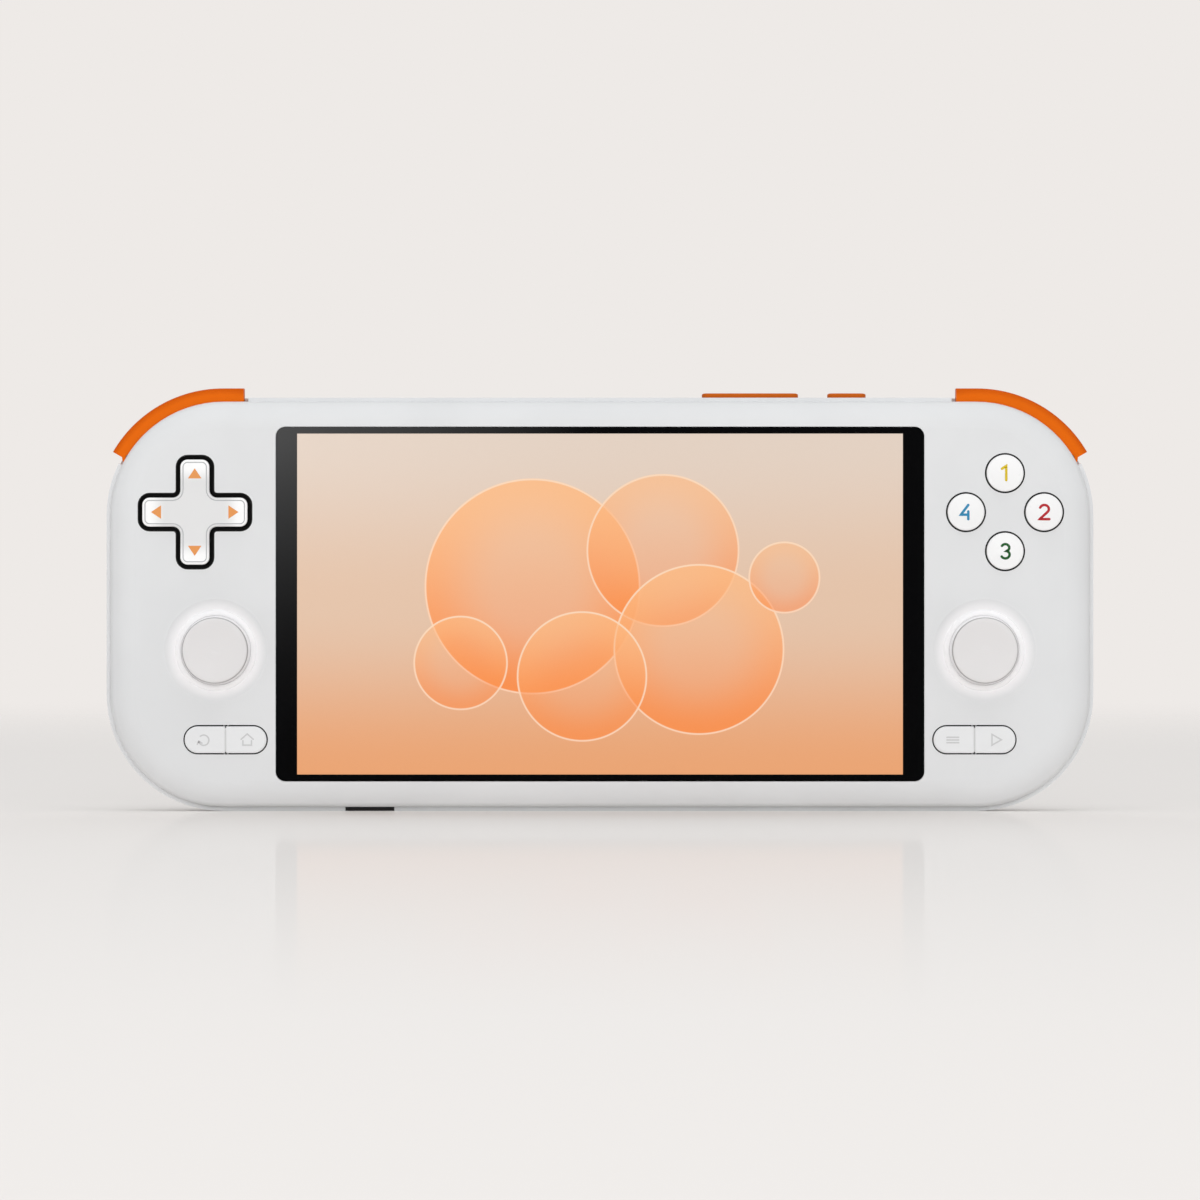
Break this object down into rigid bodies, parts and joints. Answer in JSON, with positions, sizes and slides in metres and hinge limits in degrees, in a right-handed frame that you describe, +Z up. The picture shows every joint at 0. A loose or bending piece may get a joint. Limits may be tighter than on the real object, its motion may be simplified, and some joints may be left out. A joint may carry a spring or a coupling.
{
  "type": "handheld game console",
  "caption": "Handheld game console with a wide glass screen, thumb sticks, a direction pad, round face buttons, shoulder bumpers, triggers and ports in the bottom edge.",
  "frame": {"origin": "middle of the flat bottom edge at half the body thickness, where the console stands", "axes": "+X to the right as seen from the front, -Y out of the screen, +Z up"},
  "size_m": [0.22, 0.0285, 0.0942],
  "materials": {
    "shell": "fine matt moulded plastic, warm white",
    "key": "satin white plastic",
    "stick_cap": "soft matt light grey rubber",
    "accent": "satin orange plastic",
    "top_accent": "satin orange plastic",
    "glass": "polished cover glass with a black border",
    "panel": "lit display panel",
    "frame": "die-cast, blasted",
    "board": "green solder mask",
    "dark": "black moulded plastic",
    "steel": "bright drawn steel",
    "copper": "bare copper",
    "membrane": "grey silicone rubber",
    "screw": "blackened steel"
  },
  "bodies": {
    "chassis": {"front_shell": "shell", "rear_shell": "shell", "mid_frame": "frame", "cover_glass": "glass", "display_panel": "panel", "main_board": "board", "battery_pack": "dark", "heat_sink": "copper", "fan_housing": "dark", "left_speaker": "dark", "right_speaker": "dark", "port_board": "board", "usb_port": "steel", "headphone_jack": "dark", "card_reader": "steel", "left_board": "board", "right_board": "board", "left_stick_base": "dark", "right_stick_base": "dark", "stick_switches": "steel", "pad_post": "dark", "pad_membrane": "membrane", "button_membrane": "membrane", "menu_switches": "steel", "top_key_board": "board", "top_switches": "steel", "bumper_pins": "steel", "bumper_switches": "steel", "trigger_pins": "steel", "case_screws": "screw", "frame_screws": "screw", "board_screws": "screw"},
    "fan": {"fan_rotor": "dark"},
    "left_stick_carrier": {"left_stick_carrier": "steel"},
    "left_stick_ring": {"left_stick_ring": "steel"},
    "left_stick": {"left_stick_shaft": "steel", "left_stick_dome": "key", "left_stick_cap": "stick_cap"},
    "right_stick_carrier": {"right_stick_carrier": "steel"},
    "right_stick_ring": {"right_stick_ring": "steel"},
    "right_stick": {"right_stick_shaft": "steel", "right_stick_dome": "key", "right_stick_cap": "stick_cap"},
    "pad_ball": {"pad_ball": "steel"},
    "pad": {"pad_cap": "key"},
    "button_top": {"button_top": "key"},
    "button_right": {"button_right": "key"},
    "button_bottom": {"button_bottom": "key"},
    "button_left": {"button_left": "key"},
    "return_key": {"return_key": "key"},
    "home_key": {"home_key": "key"},
    "option_key": {"option_key": "key"},
    "start_key": {"start_key": "key"},
    "power_key": {"power_key": "top_accent"},
    "volume_rocker": {"volume_rocker": "top_accent"},
    "left_bumper": {"left_bumper": "accent"},
    "left_trigger": {"left_trigger": "key"},
    "right_bumper": {"right_bumper": "accent"},
    "right_trigger": {"right_trigger": "key"}
  },
  "joints": [
    {"name": "fan_spin", "type": "hinge", "parent": "chassis", "child": "fan", "pos_m": [-0.049, 0, 0.065], "axis": [0, 1, 0], "continuous": true},
    {"name": "left_stick_click", "type": "slide", "parent": "chassis", "child": "left_stick_carrier", "axis": [0, 1, 0], "range_m": [0, 0.0003], "stiffness_N_per_m": 2500, "springref_m": -0.0008},
    {"name": "left_stick_up_down", "type": "hinge", "parent": "left_stick_carrier", "child": "left_stick_ring", "pos_m": [-0.0854, -0.0022, 0.03581], "axis": [1, 0, 0], "range_deg": [-12, 12], "stiffness_Nm_per_rad": 0.05},
    {"name": "left_stick_left_right", "type": "hinge", "parent": "left_stick_ring", "child": "left_stick", "pos_m": [-0.0854, -0.0022, 0.03581], "axis": [0, 0, 1], "range_deg": [-12, 12], "stiffness_Nm_per_rad": 0.05},
    {"name": "right_stick_click", "type": "slide", "parent": "chassis", "child": "right_stick_carrier", "axis": [0, 1, 0], "range_m": [0, 0.0003], "stiffness_N_per_m": 2500, "springref_m": -0.0008},
    {"name": "right_stick_up_down", "type": "hinge", "parent": "right_stick_carrier", "child": "right_stick_ring", "pos_m": [0.0854, -0.0022, 0.03581], "axis": [1, 0, 0], "range_deg": [-12, 12], "stiffness_Nm_per_rad": 0.05},
    {"name": "right_stick_left_right", "type": "hinge", "parent": "right_stick_ring", "child": "right_stick", "pos_m": [0.0854, -0.0022, 0.03581], "axis": [0, 0, 1], "range_deg": [-12, 12], "stiffness_Nm_per_rad": 0.05},
    {"name": "pad_up_down", "type": "hinge", "parent": "chassis", "child": "pad_ball", "pos_m": [-0.09, -0.00233, 0.06652], "axis": [1, 0, 0], "range_deg": [-4.5, 4.5], "stiffness_Nm_per_rad": 0.06},
    {"name": "pad_left_right", "type": "hinge", "parent": "pad_ball", "child": "pad", "pos_m": [-0.09, -0.00233, 0.06652], "axis": [0, 0, 1], "range_deg": [-4.5, 4.5], "stiffness_Nm_per_rad": 0.06},
    {"name": "button_top_press", "type": "slide", "parent": "chassis", "child": "button_top", "axis": [0, 1, 0], "range_m": [0, 0.0009], "stiffness_N_per_m": 500, "springref_m": -0.0008},
    {"name": "button_right_press", "type": "slide", "parent": "chassis", "child": "button_right", "axis": [0, 1, 0], "range_m": [0, 0.0009], "stiffness_N_per_m": 500, "springref_m": -0.0008},
    {"name": "button_bottom_press", "type": "slide", "parent": "chassis", "child": "button_bottom", "axis": [0, 1, 0], "range_m": [0, 0.0009], "stiffness_N_per_m": 500, "springref_m": -0.0008},
    {"name": "button_left_press", "type": "slide", "parent": "chassis", "child": "button_left", "axis": [0, 1, 0], "range_m": [0, 0.0009], "stiffness_N_per_m": 500, "springref_m": -0.0008},
    {"name": "return_key_press", "type": "slide", "parent": "chassis", "child": "return_key", "axis": [0, 1, 0], "range_m": [0, 0.0003], "stiffness_N_per_m": 900, "springref_m": -0.0008},
    {"name": "home_key_press", "type": "slide", "parent": "chassis", "child": "home_key", "axis": [0, 1, 0], "range_m": [0, 0.0003], "stiffness_N_per_m": 900, "springref_m": -0.0008},
    {"name": "option_key_press", "type": "slide", "parent": "chassis", "child": "option_key", "axis": [0, 1, 0], "range_m": [0, 0.0003], "stiffness_N_per_m": 900, "springref_m": -0.0008},
    {"name": "start_key_press", "type": "slide", "parent": "chassis", "child": "start_key", "axis": [0, 1, 0], "range_m": [0, 0.0003], "stiffness_N_per_m": 900, "springref_m": -0.0008},
    {"name": "power_key_press", "type": "slide", "parent": "chassis", "child": "power_key", "axis": [0, 0, -1], "range_m": [0, 0.00035], "stiffness_N_per_m": 900, "springref_m": -0.0008},
    {"name": "volume_rock", "type": "hinge", "parent": "chassis", "child": "volume_rocker", "pos_m": [0.0335, 0.00095, 0.08947], "axis": [0, 1, 0], "range_deg": [-1.6, 1.6], "stiffness_Nm_per_rad": 0.05},
    {"name": "left_bumper_press", "type": "hinge", "parent": "chassis", "child": "left_bumper", "pos_m": [-0.10497, 0, 0.07864], "axis": [0, 1, 0], "range_deg": [0, 2.4], "stiffness_Nm_per_rad": 0.5, "springref_deg": -2.86},
    {"name": "left_trigger_pull", "type": "hinge", "parent": "chassis", "child": "left_trigger", "pos_m": [-0.085, 0.0025, 0.0807], "axis": [-1, 0, 0], "range_deg": [0, 15], "stiffness_Nm_per_rad": 0.05, "springref_deg": -11.46},
    {"name": "right_bumper_press", "type": "hinge", "parent": "chassis", "child": "right_bumper", "pos_m": [0.10497, 0, 0.07864], "axis": [0, -1, 0], "range_deg": [0, 2.4], "stiffness_Nm_per_rad": 0.5, "springref_deg": -2.86},
    {"name": "right_trigger_pull", "type": "hinge", "parent": "chassis", "child": "right_trigger", "pos_m": [0.085, 0.0025, 0.0807], "axis": [-1, 0, 0], "range_deg": [0, 15], "stiffness_Nm_per_rad": 0.05, "springref_deg": -11.46}
  ]
}
